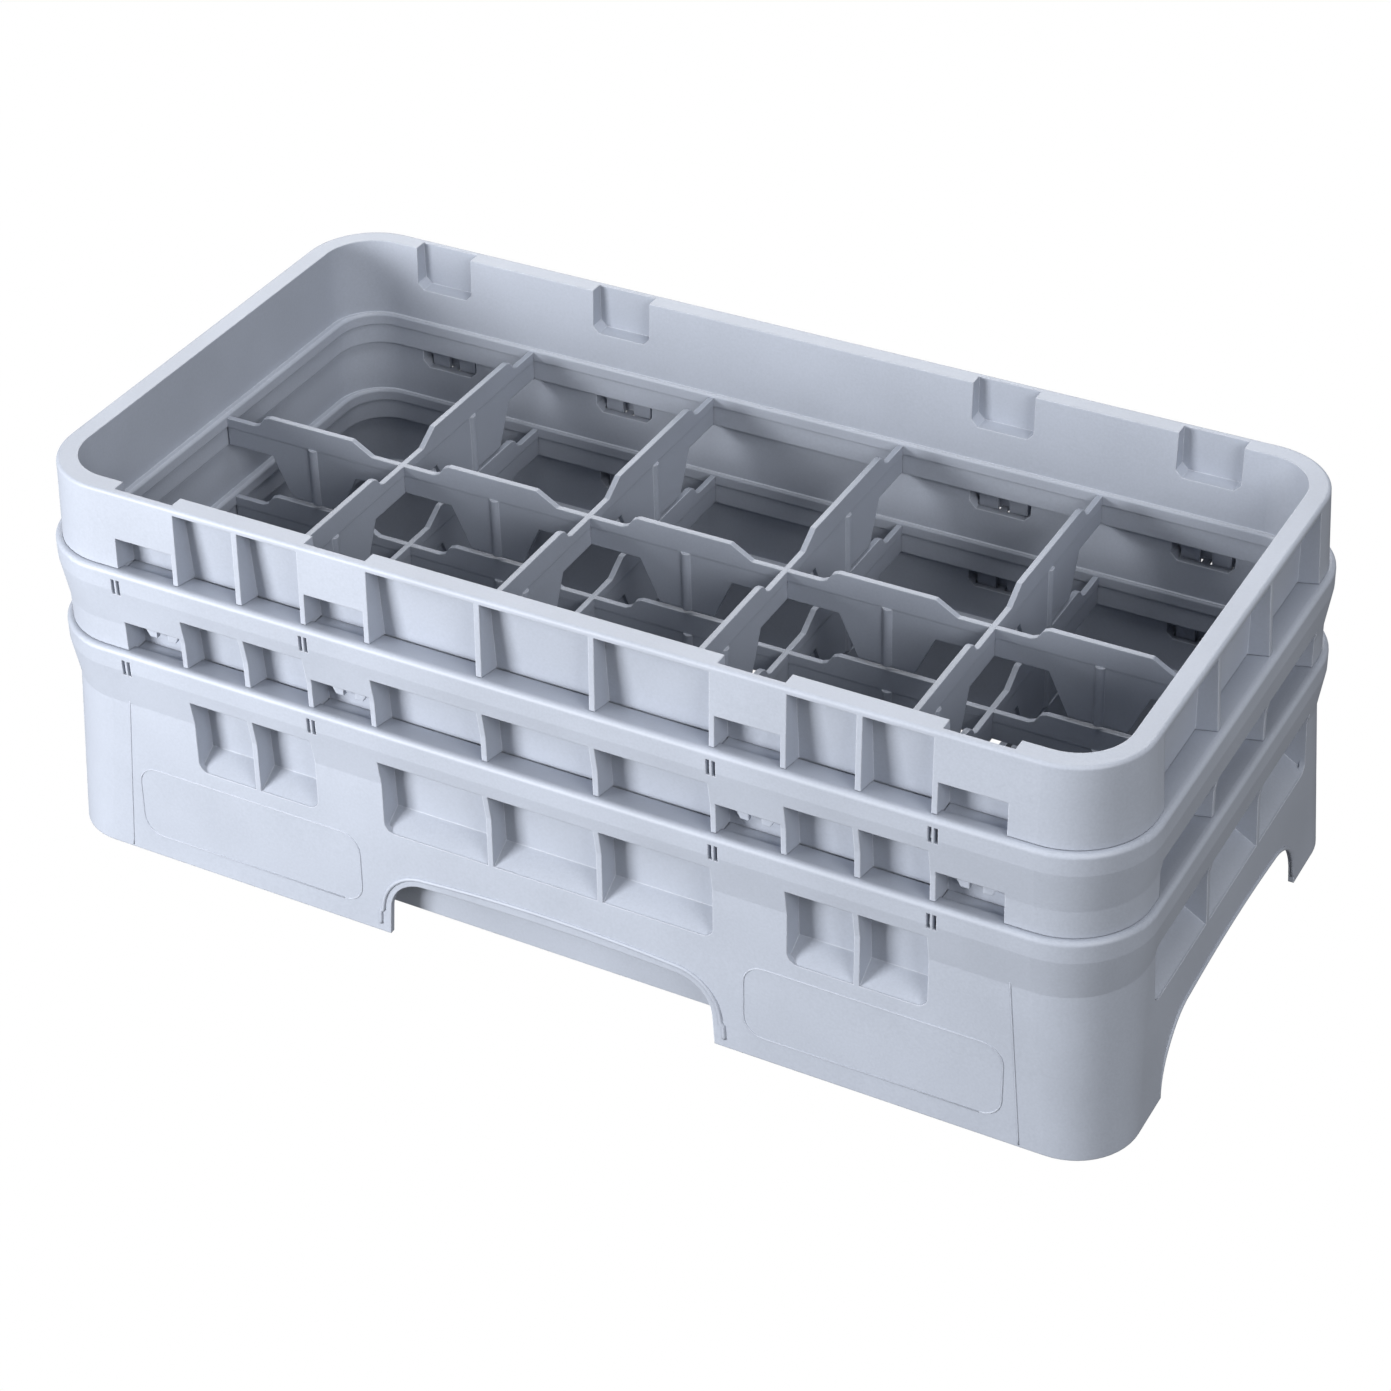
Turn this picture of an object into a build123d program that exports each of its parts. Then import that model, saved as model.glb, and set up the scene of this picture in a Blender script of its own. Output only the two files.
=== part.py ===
from build123d import *
import os

# Half-size glass rack of moulded polypropylene: a base rack with two extenders stacked on it.
# X runs along the long side, Y along the short side, Z up. The origin is the centre of the footprint.

os.makedirs("parts", exist_ok=True)

# ---- Overall sizes (mm) ----
rack_length = 501.6          # over the collars, the 19 3/4 in long side of a half-size rack
rack_width = 255.6           # over the collars, the 10 in short side
base_height = 101.6          # floor to the base's stacking joint
tier_pitch = 41.3            # what each extender adds to the height, 1 5/8 in
cell_columns = 5
cell_rows = 2

# ---- Outer wall ----
collar_proud = 4.7           # how far a collar stands out from the rim above it
rim_band = 9.1               # width of the flat rim
corner_radius = 32.0         # outer corner of the rim
wall_flare = 1.8             # how much an extender's wall spreads from rim to foot
base_flare_x = 4.7           # spread of the base's wall, rim to floor, at the ends
base_flare_y = 4.0           # and on the long sides
base_corner_foot = 28.0      # corner radius of the base where it stands
skin = 2.5                   # outer plates and ribs
rib = 2.5
rim_thick = 2.7
rim_round = 1.5

# ---- Collar round each stacking joint, heights measured from the joint ----
lip_top = 4.6                # top of the lip
gutter_low = 2.4             # gutter at the panel face
gutter_fall = 0.5            # further fall to the inner edge
collar_face_low = -5.0       # foot of the collar's upright face
collar_foot = -24.0          # where the collar has run back to the wall
collar_round = 2.0
collar_root = 1.8            # how far the wall stands out from the rim where the collar starts
bay_top_long = -11.7         # top edge of the recessed bays, long sides
bay_top_short = -18.5        # and the ends
seat_gap = 0.3               # clearance between stacked tiers

# ---- Inner wall ----
wall_lean_y = 2.8            # how far the long inner walls lean in over one tier
wall_lean_x = 0.6            # and the end walls
inner_wall_top = 1.7         # thickness under the rim
inner_wall = 2.2             # thickness at the foot
skirt_depth = 11.0           # how far an extender reaches down inside the tier below
skirt_gap = 0.45
bead_up = 5.0                # rounded bead round the inside, above the joint
bead_down = 1.0              # and below it
bead_proud_x = 1.1           # how far the bead stands in from the skirt, at the ends
bead_proud_y = 0.5           # and on the long sides
bead_round = 1.6
bead_root_x = 0.4            # how far the base's own bead is rooted in the wall, at the ends
bead_root_y = 0.2            # and on the long sides

# ---- Layout of the sides ----
side_depth = 16.05           # collar face to the nominal edge of the end cells
clip_plate = 33.0            # width of each plate that holds a clip
clip_side = 2.3              # wall at each side of the clip's window
clip_window_top = 19.3       # height of the window above the joint
clip_floor = 1.3             # floor of the clip pocket
clip_pocket_out = 3.1        # wall left outside the clip pocket
clip_pocket_wide = 29.0
clip_pocket_chamfer = 3.0
corner_plate = 38.6          # width of the corner plates on the ends, from the rim's long face
slot_wide = 4.2              # small slots in the collar
slot_tall = 7.5
slot_top = 0.7
slot_bar = 1.0

# ---- Snap prongs ----
prong_offset = 7.0           # each side of the clip's centre
prong_wide = 9.0
prong_tip_wide = 3.6
prong_inner_taper = 0.4      # how far the inner edge draws in at the tip
prong_thick = 2.2
prong_shoulder = 21.5        # where the outer edge starts to slope, below the joint
prong_drop = 30.5            # tip, below the joint
prong_foot = 2.4             # thickness of the plate that carries two prongs
prong_foot_gap = 0.35        # round that plate, in the pocket
prong_gap = 0.8
prong_wall_gap = 1.1         # between the prong and the pocket's outer wall

# ---- Dividers ----
divider_thick = 2.5
divider_top = 3.3            # low run of the top edge above the joint
divider_raise = 6.0          # raised run above the low run
low_run = 16.7               # low run at the start of each cell
step_up = 8.1
run_back = 25.2              # from the far crossing to the end of the raised run
step_down = 10.0
ease_run = 0.35              # share of the step up that eases in and out, along
ease_rise = 0.2              # and in height
draft_drop = 4.6             # below this depth under the low run the divider is thinner
draft_step = 0.15            # by this much on each face
band_depth = 13.5            # unbroken band below the low run
tab_inset = 25.0             # tab's upper corners from each crossing
tab_taper = 9.0              # how much each side of the tab draws in
tab_clear = 2.3              # tab's foot above the next divider's raised run
bump_wide = 5.0
bump_proud = 1.3

# ---- Base ----
inner_wall_foot = 6.0        # underside of the inner wall
flange_thick = 2.5
flange_wide = 4.5
floor_thick = 7.5
floor_gap = 1.2
floor_bar = 3.2
floor_border = 5.0
floor_bars_x = 15            # spaces between bars along X
floor_bars_y = 6
arch_foot_x = 77.8           # half width of the long sides' arches where they meet the floor
arch_shoulder_x = (75.8, 29.0)   # corner of the arch before rounding: half width, height
arch_crown_x = 31.5          # top of the bowed edge
arch_radius_x = 17.0
arch_foot_y = 76.0           # the same for the ends
arch_shoulder_y = (74.5, 30.5)
arch_crown_y = 32.5
arch_radius_y = 27.0
arch_back = 2.8              # from the inner wall's face out to where the arches are cut
sill_long = 53.4             # pocket's floor at the outer face, long sides
sill_rise = 7.0              # how much higher it is at the panel
sill_short = 53.5
sill_thick = 2.4
sill_round = 5.0
sill_inset = 3.5             # depth of the pocket windows' cut
rib_foot = 46.0              # underside of the pocket ribs

# ---- Derived sizes ----
rim_x = rack_length / 2 - collar_proud
rim_y = rack_width / 2 - collar_proud
inner_x = rim_x - rim_band
inner_y = rim_y - rim_band
pitch_x = (rack_length - 2 * side_depth) / cell_columns
pitch_y = (rack_width - 2 * side_depth) / cell_rows
joint_base = base_height
joint_middle = base_height + tier_pitch
rim_top = base_height + 2 * tier_pitch
clip_centres = [side * column * pitch_x for column in (1, 2) for side in (-1, 1)]
half_clip = clip_plate / 2
rib_long = (pitch_x - half_clip) / 3
rib_outer = 3 * pitch_x / 2
rib_short_edge = rim_y - corner_plate
rib_short = rib_short_edge / 3
corner_start_x = 2 * pitch_x + half_clip
far = rack_length
skirt_x = inner_x - wall_lean_x * skirt_depth / tier_pitch - skirt_gap
skirt_y = inner_y - wall_lean_y * skirt_depth / tier_pitch - skirt_gap
bead_x = skirt_x - inner_wall - bead_proud_x
bead_y = skirt_y - inner_wall - bead_proud_y
clip_depth = tier_pitch - clip_window_top - clip_floor


def radius_at(half_x):
    """Corner radius of the outline that stands at this half length."""
    return corner_radius + half_x - rim_x


def frustum(low, high):
    """Rounded block between two outlines: half length, half width, height and perhaps corner radius."""
    with BuildPart() as body:
        for half_x, half_y, z, *corner in (low, high):
            with BuildSketch(Plane.XY.offset(z)):
                RectangleRounded(2 * half_x, 2 * half_y, corner[0] if corner else radius_at(half_x))
        loft(ruled=True)
    return body.part


def slab(half_x, half_y, z_low, z_high):
    """Upright rounded block."""
    with BuildPart() as body:
        with BuildSketch(Plane.XY.offset(z_low)):
            RectangleRounded(2 * half_x, 2 * half_y, radius_at(half_x))
        extrude(amount=z_high - z_low)
    return body.part


def block(x_low, x_high, y_low, y_high, z_low, z_high):
    """Plain box between six faces."""
    with BuildPart() as body:
        with BuildSketch(Plane.XY.offset(z_low)):
            with Locations(((x_low + x_high) / 2, (y_low + y_high) / 2)):
                Rectangle(x_high - x_low, y_high - y_low)
        extrude(amount=z_high - z_low)
    return body.part


def long_bays():
    """Open bays of a long side, as pairs of X, between the ribs and the clip plates."""
    bays = [(-rib_long + rib / 2, rib_long - rib / 2)]
    near = (rib_long + rib / 2, pitch_x - half_clip)
    inner = (pitch_x + half_clip, rib_outer - rib / 2)
    outer = (rib_outer + rib / 2, 2 * pitch_x - half_clip)
    for low, high in (near, inner, outer):
        bays.append((low, high))
        bays.append((-high, -low))
    return bays


def short_bays():
    """Open bays of an end, as pairs of Y."""
    middle = rib_short - rib / 2
    side = (rib_short + rib / 2, rib_short_edge)
    return [(-middle, middle), side, (-side[1], -side[0])]


def bay_boxes(z_low, z_long, z_short):
    """Boxes through the open bays, from well inside to well outside the wall."""
    boxes = []
    for low, high in long_bays():
        boxes.append(block(low, high, inner_y - rim_band, far, z_low, z_long))
        boxes.append(block(low, high, -far, -inner_y + rim_band, z_low, z_long))
    for low, high in short_bays():
        boxes.append(block(inner_x - rim_band, far, low, high, z_low, z_short))
        boxes.append(block(-far, -inner_x + rim_band, low, high, z_low, z_short))
    return boxes


def clip_boxes(width, y_in, y_out, z_low, z_high):
    """Boxes at every clip, on both long sides."""
    boxes = []
    for x in clip_centres:
        boxes.append(block(x - width / 2, x + width / 2, y_in, y_out, z_low, z_high))
        boxes.append(block(x - width / 2, x + width / 2, -y_out, -y_in, z_low, z_high))
    return boxes


def corner_boxes(z_low, z_high):
    """Boxes that take in the hollow behind each corner plate."""
    x = corner_start_x + skin
    y = rib_short_edge + skin
    boxes = []
    for side_x in (-1, 1):
        for side_y in (-1, 1):
            x_pair = sorted((side_x * x, side_x * far))
            y_pair = sorted((side_y * y, side_y * far))
            boxes.append(block(*x_pair, *y_pair, z_low, z_high))
    return boxes


def hollows(boxes, inside):
    """The part of the boxes that lies within the outer skin."""
    with BuildPart() as body:
        add(boxes)
        add(inside, mode=Mode.INTERSECT)
    return body.part


def collar(joint):
    """Solid collar round a stacking joint, wide at the lip and run back into the wall."""
    face_x = rack_length / 2
    face_y = rack_width / 2
    with BuildPart() as body:
        add(slab(face_x, face_y, joint + collar_face_low, joint + lip_top))
        add(frustum(
            (rim_x + collar_root, rim_y + collar_root, joint + collar_foot),
            (face_x, face_y, joint + collar_face_low),
        ))
        fillet(body.faces().sort_by(Axis.Z)[-1].edges(), collar_round)
    return body.part


def behind_collar(joint, roof):
    """The space a skin's thickness inside the collar, up to the roof of the hollow."""
    face_x = rack_length / 2 - skin
    face_y = rack_width / 2 - skin
    with BuildPart() as body:
        add(slab(face_x, face_y, joint + collar_face_low, roof))
        add(frustum(
            (rim_x + collar_root - skin, rim_y + collar_root - skin, joint + collar_foot),
            (face_x, face_y, joint + collar_face_low),
        ))
    return body.part


def gutter(joint, lift, top):
    """The space above the gutter's slope, raised by lift, up to a height above the joint."""
    low_x = skirt_x - inner_wall
    low_y = skirt_y - inner_wall
    high_x = rim_x + wall_flare
    high_y = rim_y + wall_flare
    with BuildPart() as body:
        add(frustum(
            (low_x, low_y, joint + gutter_low - gutter_fall + lift),
            (high_x, high_y, joint + lip_top + lift),
        ))
        if top > lip_top + lift:
            add(slab(high_x, high_y, joint + lip_top + lift, joint + top))
    return body.part


def clip_pocket(joint, depth):
    """Pockets in the rim that take the snap prongs, with sloping lower corners."""
    wide = clip_pocket_wide
    reach = rim_y - clip_pocket_out
    pockets = []
    for x in clip_centres:
        with BuildPart() as body:
            with BuildSketch(Plane.XZ.offset(inner_y - rim_band)):
                with BuildLine():
                    Polyline(
                        (x - wide / 2, joint + 2 * lip_top),
                        (x - wide / 2, joint - depth + clip_pocket_chamfer),
                        (x - wide / 2 + clip_pocket_chamfer, joint - depth),
                        (x + wide / 2 - clip_pocket_chamfer, joint - depth),
                        (x + wide / 2, joint - depth + clip_pocket_chamfer),
                        (x + wide / 2, joint + 2 * lip_top),
                        close=True,
                    )
                make_face()
            extrude(amount=reach - inner_y + rim_band)
            mirror(about=Plane.XZ)
        pockets.append(body.part)
    return pockets


def prong_slots(joint, depth):
    """Slots through the pockets' floors for the prongs."""
    half = prong_wide / 2 + prong_gap
    y_out = rim_y - clip_pocket_out
    y_in = y_out - prong_wall_gap - prong_thick - prong_gap
    slots = []
    for x in clip_centres:
        for offset_x in (-prong_offset, prong_offset):
            for y_pair in ((y_in, y_out), (-y_out, -y_in)):
                slots.append(block(
                    x + offset_x - half, x + offset_x + half, *y_pair,
                    joint - depth - 2 * clip_floor, joint - depth + clip_floor,
                ))
    return slots


def collar_slots(joint):
    """Small slots through the collar at the left end of each clip plate, with a bar in each."""
    z_high = joint + slot_top
    z_low = z_high - slot_tall
    y_in = rim_y - skin
    slots = []
    for x in clip_centres:
        left = x - half_clip
        bar = left + slot_wide / 2
        for x_low, x_high in ((left, bar - slot_bar / 2), (bar + slot_bar / 2, left + slot_wide)):
            slots.append(block(x_low, x_high, -far, -y_in, z_low, z_high))
            slots.append(block(-x_high, -x_low, y_in, far, z_low, z_high))
    return slots


def inner_ring(joint):
    """Bead and skirt round the inside of an extender's foot."""
    with BuildPart() as body:
        add(slab(skirt_x, skirt_y, joint - skirt_depth, joint + bead_up))
        add(
            slab(skirt_x - inner_wall, skirt_y - inner_wall, joint - 2 * skirt_depth, joint + 2 * bead_up),
            mode=Mode.SUBTRACT,
        )
        add(bead(joint, skirt_x, skirt_y))
    return body.part


def bead(joint, out_x, out_y):
    """Rounded band that the dividers run into."""
    with BuildPart() as body:
        add(slab(out_x, out_y, joint - bead_down, joint + bead_up))
        add(
            slab(bead_x, bead_y, joint - 2 * bead_up, joint + 2 * bead_up),
            mode=Mode.SUBTRACT,
        )
        inside = body.faces().filter_by(Axis.Z).sort_by(Axis.Z)[-1].inner_wires()[0]
        fillet(inside.edges(), bead_round)
    return body.part


def extender(joint, top, has_collar):
    """One extender's frame, from its skirt to its rim or collar."""
    foot = joint + gutter_low + seat_gap
    lean_x = wall_lean_x
    lean_y = wall_lean_y
    z_long = top - rim_thick
    z_short = top - rim_thick
    if has_collar:
        z_long = top + bay_top_long
        z_short = top + bay_top_short
    roof = top - rim_thick
    head_x, head_y = rim_x, rim_y
    if has_collar:
        roof = top + gutter_low - rim_thick
        head_x, head_y = rim_x + collar_root, rim_y + collar_root
    under = joint - skirt_depth
    with BuildPart() as body:
        add(frustum((rim_x + wall_flare, rim_y + wall_flare, foot), (head_x, head_y, top)))
        if has_collar:
            add(collar(top))
        else:
            fillet(body.faces().sort_by(Axis.Z)[-1].edges(), rim_round)
        # Open bays, and the hollows behind the plates and the collar.
        add(bay_boxes(under, z_long, z_short), mode=Mode.SUBTRACT)
        inside = frustum(
            (rim_x + wall_flare - skin, rim_y + wall_flare - skin, under),
            (head_x - skin, head_y - skin, roof),
        )
        add(hollows(bay_boxes(under, roof, roof) + corner_boxes(under, roof), inside), mode=Mode.SUBTRACT)
        add(clip_boxes(clip_plate - 2 * clip_side, inner_y - rim_band, far, under, joint + clip_window_top),
            mode=Mode.SUBTRACT)
        if has_collar:
            behind = behind_collar(top, roof)
            add(hollows(bay_boxes(under, roof, roof) + corner_boxes(under, roof), behind), mode=Mode.SUBTRACT)
        # Inner wall, leaning in towards its foot.
        add(frustum(
            (inner_x + inner_wall - lean_x, inner_y + inner_wall - lean_y, foot),
            (inner_x + inner_wall_top, inner_y + inner_wall_top, roof + rim_thick / 2),
        ))
        add(seat_ring(joint), mode=Mode.SUBTRACT)
        if has_collar:
            add(gutter(top, 0, 2 * lip_top), mode=Mode.SUBTRACT)
        add(frustum(
            (inner_x - lean_x, inner_y - lean_y, foot - seat_gap),
            (inner_x, inner_y, top),
        ), mode=Mode.SUBTRACT)
        add(slab(inner_x, inner_y, top - seat_gap, top + 2 * lip_top), mode=Mode.SUBTRACT)
        # Clip pockets in the rim.
        add(clip_pocket(top, clip_depth), mode=Mode.SUBTRACT)
        if has_collar:
            add(prong_slots(top, clip_depth), mode=Mode.SUBTRACT)
            add(collar_slots(top), mode=Mode.SUBTRACT)
        add(inner_ring(joint))
    return body.part


def seat_ring(joint):
    """What an extender's wall must clear to stand on the gutter of the tier below."""
    with BuildPart() as body:
        add(slab(rack_length / 2, rack_width / 2, joint, joint + lip_top + seat_gap))
        add(gutter(joint, seat_gap, 0), mode=Mode.SUBTRACT)
        add(slab(inner_x, inner_y, joint - lip_top, joint + 2 * lip_top), mode=Mode.SUBTRACT)
    return body.part


def cell_edge(start, length, low, high):
    """Top edge of a divider over one cell: low run, step up, raised run, slope down."""
    return [
        (start + low_run, low),
        (start + low_run + ease_run * step_up, low + ease_rise * (high - low)),
        (start + low_run + (1 - ease_run) * step_up, high - ease_rise * (high - low)),
        (start + low_run + step_up, high),
        (start + length - run_back, high),
        (start + length - run_back + step_down, low),
    ]


def divider_outline(half, starts, length, joint, foot):
    """Side view of a divider as a closed list of points, from its left end to its right end."""
    low = joint + divider_top
    high = low + divider_raise
    band = low - band_depth
    points = [(-half, low)]
    for start in starts:
        points += cell_edge(start, length, low, high)
    points += [(half, low), (half, band)]
    for start in reversed(starts):
        points += [
            (start + length - tab_inset, band),
            (start + length - tab_inset - tab_taper, foot),
            (start + tab_inset + tab_taper, foot),
            (start + tab_inset, band),
        ]
    points.append((-half, band))
    return points


def half_lap(x, joint, upper):
    """Slot at a crossing: in the long divider's upper half, or in the cross divider's lower half."""
    low = joint + divider_top
    middle = low - band_depth / 2
    half = divider_thick / 2
    if upper:
        return block(x - half, x + half, -2 * half, 2 * half, middle, low + tier_pitch)
    return block(x - 2 * half, x + 2 * half, -half, half, low - tier_pitch, middle)


column_starts = [(column - cell_columns / 2) * pitch_x for column in range(cell_columns)]
row_starts = [(row - cell_rows / 2) * pitch_y for row in range(cell_rows)]
crossings = column_starts[1:]


def long_divider(joint, foot):
    """Divider along the middle of the rack, slotted from above at every crossing."""
    thinned = divider_thick / 2 - draft_step
    draft = joint + divider_top - draft_drop
    with BuildPart() as body:
        with BuildSketch(Plane.XZ.offset(-divider_thick / 2)):
            with BuildLine():
                Polyline(*divider_outline(bead_x, column_starts, pitch_x, joint, foot), close=True)
            make_face()
        extrude(amount=divider_thick)
        for face in (thinned, -divider_thick):
            add(block(-far, far, face, face + divider_thick - thinned, foot - tab_clear, draft), mode=Mode.SUBTRACT)
        add(bumps_long(joint, foot))
        add([half_lap(x, joint, True) for x in crossings], mode=Mode.SUBTRACT)
    return body.part


def cross_divider(x, joint, foot):
    """Divider across the rack at one crossing, slotted from below where it meets the long one."""
    thinned = divider_thick / 2 - draft_step
    draft = joint + divider_top - draft_drop
    with BuildPart() as body:
        with BuildSketch(Plane.YZ.offset(x - divider_thick / 2)):
            with BuildLine():
                outline = divider_outline(bead_y, row_starts, pitch_y, joint, foot)
                Polyline(*[(-y, z) for y, z in outline], close=True)
            make_face()
        extrude(amount=divider_thick)
        for face in (x + thinned, x - divider_thick):
            add(block(face, face + divider_thick - thinned, -far, far, foot - tab_clear, draft), mode=Mode.SUBTRACT)
        add(bumps_cross(x, joint, foot))
        add(half_lap(x, joint, False), mode=Mode.SUBTRACT)
    return body.part


def bump(x, y, joint, foot, along_x):
    """Rounded upright rib on both faces of a divider, at the middle of a cell."""
    wide, deep = bump_wide, divider_thick + 2 * bump_proud
    if not along_x:
        wide, deep = deep, wide
    with BuildPart() as body:
        with BuildSketch(Plane.XY.offset(foot)):
            with Locations((x, y)):
                Ellipse(wide / 2, deep / 2)
        extrude(amount=joint + divider_top - draft_drop - foot)
    return body.part


def bumps_long(joint, foot):
    return [bump(start + pitch_x / 2, 0, joint, foot, True) for start in column_starts]


def bumps_cross(x, joint, foot):
    return [bump(x, start + pitch_y / 2, joint, foot, False) for start in row_starts]


def snap_prongs(joint):
    """Foot plate and two mirrored fingers at every clip, hanging into the rim of the tier below."""
    pocket_out = rim_y - clip_pocket_out
    plate_out = pocket_out - prong_foot_gap
    y_in = pocket_out - prong_wall_gap - prong_thick
    foot_high = joint + gutter_low
    foot_half = clip_pocket_wide / 2 - prong_foot_gap
    with BuildPart() as body:
        for x in clip_centres:
            with BuildSketch(Plane.XY.offset(foot_high - prong_foot)):
                with Locations((x, -(skirt_y + plate_out) / 2)):
                    Rectangle(2 * foot_half, plate_out - skirt_y)
            extrude(amount=prong_foot)
            for side in (-1, 1):
                inner = x + side * (prong_offset - prong_wide / 2)
                outer = x + side * (prong_offset + prong_wide / 2)
                tip = inner + side * prong_inner_taper
                with BuildSketch(Plane.XZ.offset(y_in)):
                    with BuildLine():
                        Polyline(
                            (inner, foot_high - prong_foot / 2),
                            (tip, joint - prong_drop),
                            (tip + side * prong_tip_wide, joint - prong_drop),
                            (outer, joint - prong_shoulder),
                            (outer, foot_high - prong_foot / 2),
                            close=True,
                        )
                    make_face()
                extrude(amount=prong_thick)
        mirror(about=Plane.XZ)
    return body.part


def arch(plane, foot, shoulder, crown, radius, start):
    """Arched notch through the base's outer wall on one pair of sides, with a bowed top edge."""
    half, height = shoulder
    with BuildPart() as body:
        with BuildSketch(plane.offset(start)) as opening:
            with BuildLine():
                Polyline((-half, height), (-foot, 0), (-foot, -skin), (foot, -skin), (foot, 0), (half, height))
                ThreePointArc((half, height), (0, crown), (-half, height))
            make_face()
            fillet(opening.vertices().sort_by(Axis.Y)[-2:], radius)
        extrude(amount=2 * rim_band + base_flare_x)
        mirror(about=plane)
    return body.part


def base_outline(z, inset):
    """Half length, half width, height and corner radius of the base's wall at z, drawn in by inset."""
    share = min(z / (base_height + collar_foot), 1)
    half_x = rack_length / 2 + share * (rim_x + collar_root - rack_length / 2)
    foot_y = rim_y + base_flare_y
    half_y = foot_y + share * (rim_y + collar_root - foot_y)
    corner = base_corner_foot + share * (radius_at(rim_x + collar_root) - base_corner_foot)
    return half_x - inset, half_y - inset, z, corner - inset


def sill(plane, face, z_face, start, end):
    """Sloping floor of a row of pockets, along one pair of sides, between two distances."""
    slope = sill_rise / (rim_band + wall_flare)
    y_in = face - 2 * inner_wall
    y_out = face + 2 * rim_band
    z_in = z_face + sill_rise + slope * (face - y_in)
    z_out = z_face + sill_rise - slope * (y_out - face)
    with BuildPart() as body:
        with BuildSketch(plane.offset(start)):
            with BuildLine():
                Polyline(
                    (y_in, z_in), (y_out, z_out), (y_out, z_out - sill_thick), (y_in, z_in - sill_thick),
                    close=True,
                )
            make_face()
        extrude(amount=end - start)
    return body.part


def pocket_window(plane, low, high, ribs, z_low, z_high, start):
    """Opening of a row of pockets through the outer skin, with rounded lower corners."""
    with BuildPart() as body:
        with BuildSketch(plane.offset(start)) as face:
            with Locations(((low + high) / 2, (z_low + z_high) / 2)):
                Rectangle(high - low, z_high - z_low)
            fillet(face.vertices().sort_by(Axis.Y)[:2], sill_round)
            for position in ribs:
                with Locations((position, (z_low + z_high) / 2)):
                    Rectangle(rib, z_high - z_low, mode=Mode.SUBTRACT)
        extrude(amount=far)
    return body.part


def base_wall():
    """The base's double wall, with its pockets, arches, collar, bead and floor flange."""
    joint = joint_base
    roof = joint + gutter_low - rim_thick
    wall_top = joint + collar_foot
    z_long = joint + bay_top_long
    z_short = joint + bay_top_short
    outer = frustum(base_outline(0, 0), base_outline(wall_top, 0))
    with BuildPart() as inside:
        add(frustum(base_outline(0, skin), base_outline(wall_top, skin)))
        add(behind_collar(joint, roof))
    low_hollow = block(-far, far, -far, far, 0, rib_foot)
    group_near = pitch_x - half_clip
    group_far = (pitch_x + half_clip, 2 * pitch_x - half_clip)
    groups = [
        (-group_near, group_near, (-rib_long, rib_long)),
        (group_far[0], group_far[1], (rib_outer,)),
        (-group_far[1], -group_far[0], (-rib_outer,)),
    ]
    skin_y = base_outline(sill_long, sill_inset)[1]
    skin_x = base_outline(sill_short, sill_inset)[0]
    with BuildPart() as floors:
        for low, high, _ in groups:
            add(sill(Plane.YZ, inner_y, sill_long, low, high))
        mirror(about=Plane.XZ)
    with BuildPart() as end_floors:
        add(sill(Plane.XZ, inner_x, sill_short, -rib_short_edge, rib_short_edge))
        mirror(about=Plane.YZ)
    with BuildPart() as trimmed:
        add([floors.part, end_floors.part])
        add(outer, mode=Mode.INTERSECT)
    with BuildPart() as windows:
        for low, high, ribs in groups:
            add(pocket_window(Plane.XZ, low, high, ribs, sill_long, z_long, skin_y))
        mirror(about=Plane.XZ)
    with BuildPart() as end_windows:
        add(pocket_window(
            Plane.YZ, -rib_short_edge, rib_short_edge, (-rib_short, rib_short), sill_short, z_short, skin_x,
        ))
        mirror(about=Plane.YZ)
    boxes = bay_boxes(rib_foot - skin, roof, roof) + corner_boxes(rib_foot - skin, roof)
    boxes += clip_boxes(
        clip_plate - 2 * clip_side, inner_y - rim_band, far,
        rib_foot - skin, joint - clip_depth - clip_floor,
    )
    hollow = hollows([low_hollow] + boxes, inside.part)
    notches = [
        arch(Plane.XZ, arch_foot_x, arch_shoulder_x, arch_crown_x, arch_radius_x, inner_y + arch_back),
        arch(Plane.YZ, arch_foot_y, arch_shoulder_y, arch_crown_y, arch_radius_y, inner_x + arch_back),
    ]
    low_joint = joint - tier_pitch
    wall_foot = (inner_x - wall_lean_x, inner_y - wall_lean_y)
    with BuildPart() as flange:
        add(slab(wall_foot[0] + skin / 2, wall_foot[1] + skin / 2, inner_wall_foot, inner_wall_foot + flange_thick))
        add(
            slab(wall_foot[0] - flange_wide, wall_foot[1] - flange_wide, 0, 2 * inner_wall_foot + flange_thick),
            mode=Mode.SUBTRACT,
        )
    with BuildPart() as body:
        add(outer)
        add(collar(joint))
        # Hollow between the outer skin and the inner wall, with ribs and clip walls above the arches.
        add(hollow, mode=Mode.SUBTRACT)
        add([windows.part, end_windows.part], mode=Mode.SUBTRACT)
        add(trimmed.part)
        # Inner wall, leaning in towards its foot.
        add(frustum(
            (wall_foot[0] + inner_wall, wall_foot[1] + inner_wall, inner_wall_foot),
            (inner_x + inner_wall_top, inner_y + inner_wall_top, roof + rim_thick / 2),
        ))
        add(gutter(joint, 0, 2 * lip_top), mode=Mode.SUBTRACT)
        add(frustum((*wall_foot, inner_wall_foot - seat_gap), (inner_x, inner_y, joint)), mode=Mode.SUBTRACT)
        add(slab(inner_x, inner_y, joint - seat_gap, joint + 2 * lip_top), mode=Mode.SUBTRACT)
        add(clip_pocket(joint, clip_depth), mode=Mode.SUBTRACT)
        add(prong_slots(joint, clip_depth), mode=Mode.SUBTRACT)
        add(collar_slots(joint), mode=Mode.SUBTRACT)
        add(notches, mode=Mode.SUBTRACT)
        add(bead(low_joint, inner_x + bead_root_x, inner_y + bead_root_y))
        add(flange.part)
    return body.part


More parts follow.
